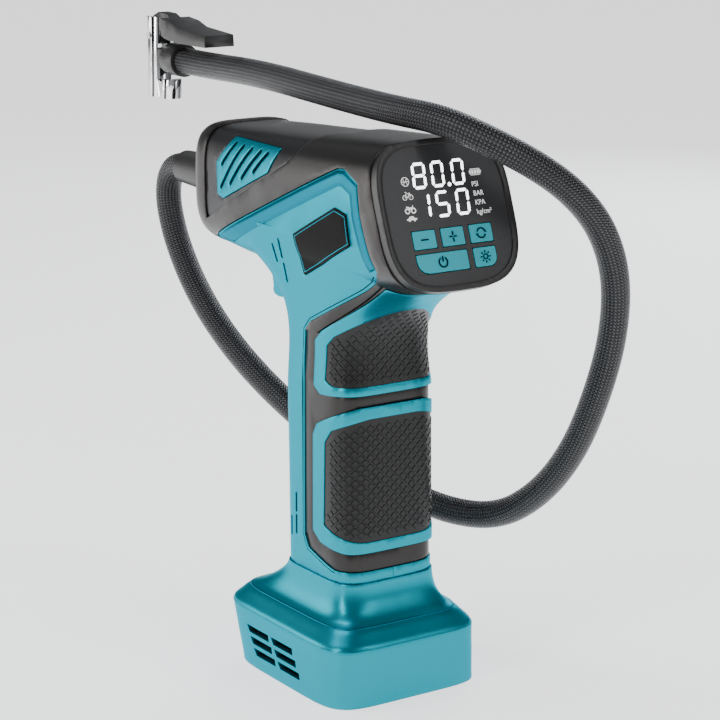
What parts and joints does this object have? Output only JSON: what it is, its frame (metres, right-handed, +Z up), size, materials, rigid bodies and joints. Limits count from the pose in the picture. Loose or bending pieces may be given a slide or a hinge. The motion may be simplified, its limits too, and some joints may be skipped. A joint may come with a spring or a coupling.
{
  "type": "portable tire inflator",
  "caption": "Hand-held tire inflator: pistol grip on a battery base, display and keys at the rear, crank pump inside, braided hose looping over to a lever chuck.",
  "frame": {"origin": "centre of the base's flat underside", "axes": "+Z up; +Y towards the front end, where the hose leaves; the display and the user are on the -Y side; +X is the right-hand side"},
  "size_m": [0.1052, 0.2465, 0.2482],
  "materials": {
    "teal_shell": "satin metallic lacquer",
    "black_shell": "fine matte grain",
    "front_shell": "satin",
    "grip_rubber": "matte, textured",
    "grille": "satin metallic lacquer",
    "badge": "gloss",
    "bezel": "satin",
    "display_lens": "smoked gloss",
    "led": "glowing segments",
    "keys": "satin teal with dark signs",
    "silicone": "matte",
    "board": "solder mask",
    "trigger": "satin",
    "steel": "brushed",
    "cast_metal": "die-cast",
    "brass": "turned",
    "nylon": "natural nylon",
    "seal_rubber": "smooth",
    "hose_braid": "woven braid with grey flecks",
    "chuck_metal": "polished",
    "chuck_black": "matte",
    "battery": "shrink sleeve",
    "light": "frosted"
  },
  "bodies": {
    "housing": {"housing_left": "teal_shell", "housing_right": "teal_shell", "front_shell": "front_shell", "rear_shell": "black_shell", "front_cap": "black_shell", "grip_frame": "black_shell", "grip_pad_upper": "grip_rubber", "grip_pad_lower": "grip_rubber", "trim_ring_upper": "teal_shell", "trim_ring_lower": "teal_shell", "vent_grille_left": "grille", "vent_grille_right": "grille", "badge_left": "badge", "badge_right": "badge", "display_bezel": "bezel", "display_lens": "display_lens", "led_display": "led", "display_board": "board", "key_mat": "silicone", "trigger_spring": "steel", "trigger_switch": "chuck_black", "motor_can": "steel", "pump_frame": "cast_metal", "crank_axle": "steel", "cylinder": "cast_metal", "cylinder_head": "cast_metal", "pump_screws": "steel", "pressure_sensor": "chuck_black", "outlet_fitting": "brass", "hose_collar": "chuck_black", "hose": "hose_braid", "hose_ferrule": "chuck_black", "chuck_neck": "chuck_black", "chuck_body": "chuck_metal", "chuck_seal": "seal_rubber", "lever_pin": "steel", "base_housing": "teal_shell", "bottom_cover": "black_shell", "base_feet": "grip_rubber", "battery_cells": "battery", "main_board": "board", "usb_port": "steel", "light_lens": "light", "case_screws": "steel"},
    "key_minus": {"key_minus": "keys"},
    "key_plus": {"key_plus": "keys"},
    "key_mode": {"key_mode": "keys"},
    "key_power": {"key_power": "keys"},
    "key_light": {"key_light": "keys"},
    "trigger": {"trigger": "trigger"},
    "lock_button": {"lock_button": "trigger"},
    "crank": {"crank_gear": "nylon"},
    "rotor": {"motor_shaft": "steel", "drive_pinion": "brass", "cooling_fan": "nylon"},
    "piston": {"connecting_rod": "nylon", "piston": "cast_metal", "piston_seal": "seal_rubber"},
    "lever": {"chuck_lever": "chuck_black"},
    "port_cover": {"port_cover": "grip_rubber"}
  },
  "joints": [
    {"name": "key_minus_press", "type": "slide", "parent": "housing", "child": "key_minus", "axis": [0, 0.9397, -0.342], "range_m": [0, 0.0006], "stiffness_N_per_m": 2500, "springref_m": -0.0002},
    {"name": "key_plus_press", "type": "slide", "parent": "housing", "child": "key_plus", "axis": [0, 0.9397, -0.342], "range_m": [0, 0.0006], "stiffness_N_per_m": 2500, "springref_m": -0.0002},
    {"name": "key_mode_press", "type": "slide", "parent": "housing", "child": "key_mode", "axis": [0, 0.9397, -0.342], "range_m": [0, 0.0006], "stiffness_N_per_m": 2500, "springref_m": -0.0002},
    {"name": "key_power_press", "type": "slide", "parent": "housing", "child": "key_power", "axis": [0, 0.9397, -0.342], "range_m": [0, 0.0006], "stiffness_N_per_m": 2500, "springref_m": -0.0002},
    {"name": "key_light_press", "type": "slide", "parent": "housing", "child": "key_light", "axis": [0, 0.9397, -0.342], "range_m": [0, 0.0006], "stiffness_N_per_m": 2500, "springref_m": -0.0002},
    {"name": "trigger_pull", "type": "slide", "parent": "housing", "child": "trigger", "axis": [0, -1, 0], "range_m": [0, 0.004], "stiffness_N_per_m": 700, "springref_m": -0.001, "deforming": ["trigger_spring"]},
    {"name": "lock_slide", "type": "slide", "parent": "housing", "child": "lock_button", "axis": [0, -1, 0], "range_m": [0, 0.0007]},
    {"name": "crank_spin", "type": "hinge", "parent": "housing", "child": "crank", "pos_m": [0, 0.00795, 0.166], "axis": [0, 0, 1], "continuous": true},
    {"name": "motor_spin", "type": "hinge", "parent": "housing", "child": "rotor", "pos_m": [0, -0.012, 0.166], "axis": [0, 0, 1], "continuous": true},
    {"name": "piston_slide", "type": "slide", "parent": "housing", "child": "piston", "axis": [0, 1, 0], "range_m": [-0.014, 0]},
    {"name": "lever_hinge", "type": "hinge", "parent": "housing", "child": "lever", "pos_m": [0, 0.148, 0.238], "axis": [-1, 0, 0], "range_deg": [0, 90]},
    {"name": "port_cover_hinge", "type": "hinge", "parent": "housing", "child": "port_cover", "pos_m": [0.0346, -0.01, 0.0172], "axis": [0, -1, 0], "range_deg": [0, 100]}
  ],
  "couplings": [
    {"joint": "motor_spin", "follows": "crank_spin", "ratio": -3.75}
  ]
}
